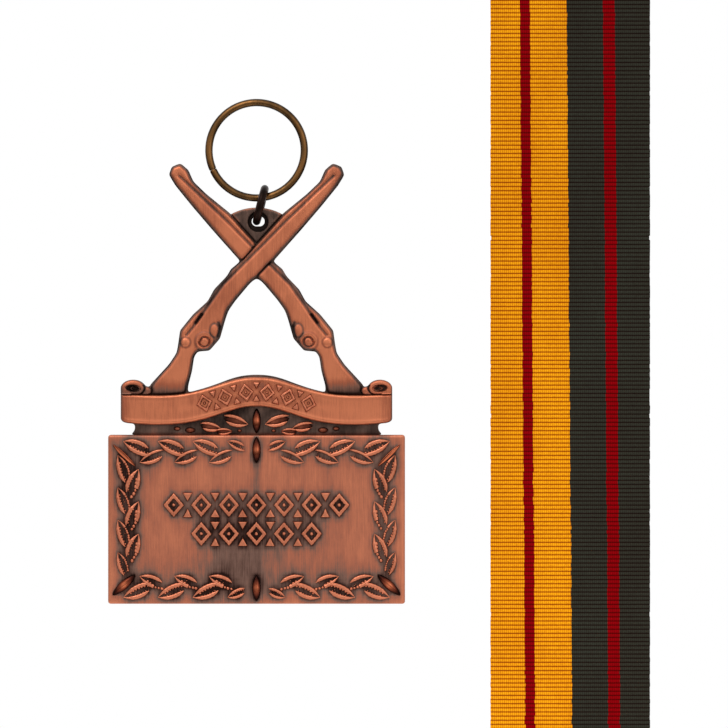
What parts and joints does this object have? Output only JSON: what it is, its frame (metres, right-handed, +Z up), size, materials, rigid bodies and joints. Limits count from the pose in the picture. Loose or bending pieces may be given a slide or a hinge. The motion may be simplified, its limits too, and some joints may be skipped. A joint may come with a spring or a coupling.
{
  "type": "military service medal",
  "caption": "Cast copper badge with crossed rifles, scroll and leaf-bordered panel, hung by a jump ring from a wire ring, with a loose striped ribbon.",
  "frame": {"origin": "the hang point: the inside top of the suspension ring, where it bears on whatever carries the medal", "axes": "+Z up, -Y out of the medal's face, +X to the right as its face is looked at"},
  "size_m": [0.1085, 0.0082, 0.1524],
  "materials": {
    "patina_copper": "dark antique patina on cast copper plating",
    "brushed_copper": "vertically brushed antique copper",
    "relief_copper": "polished antique copper high relief",
    "dark_bronze": "dark bronzed wire",
    "antique_brass": "antique brass wire",
    "striped_ribbon": "ribbed ribbon striped yellow, red and dark green"
  },
  "bodies": {
    "ring": {"suspension_ring": "antique_brass"},
    "link": {"jump_ring": "dark_bronze"},
    "badge": {"base_plate": "patina_copper", "suspension_lug": "patina_copper", "inscription_panel": "brushed_copper", "rifle_over": "brushed_copper", "rifle_under": "brushed_copper", "scroll_banner": "brushed_copper", "scroll_curl_left": "brushed_copper", "scroll_curl_right": "brushed_copper", "leaves_top_left": "relief_copper", "leaves_top_right": "relief_copper", "leaves_bottom_left": "relief_copper", "leaves_bottom_right": "relief_copper", "leaves_side_left": "relief_copper", "leaves_side_right": "relief_copper", "olive_spray_left": "relief_copper", "olive_spray_right": "relief_copper", "spindle_crest": "relief_copper", "spindle_panel_top": "relief_copper", "spindle_panel_bottom": "relief_copper", "spindle_corner_bottom_left": "relief_copper", "spindle_corner_bottom_right": "relief_copper", "spindle_corner_top_left": "relief_copper", "spindle_corner_top_right": "relief_copper", "banner_frieze": "relief_copper", "panel_frieze_upper": "relief_copper", "panel_frieze_lower": "relief_copper"},
    "ribbon_strip": {"ribbon": "striped_ribbon"}
  },
  "joints": [
    {"name": "link_swing", "type": "hinge", "parent": "ring", "child": "link", "pos_m": [0, 0, -0.01821], "axis": [1, 0, 0], "range_deg": [-75, 75]},
    {"name": "badge_swing", "type": "hinge", "parent": "link", "child": "badge", "pos_m": [0, 0, -0.01978], "axis": [1, 0, 0], "range_deg": [-75, 75]},
    {"name": "ribbon_lift", "type": "slide", "parent": "ring", "child": "ribbon_strip", "axis": [0, 0, 1], "range_m": [0, 0.03]}
  ]
}
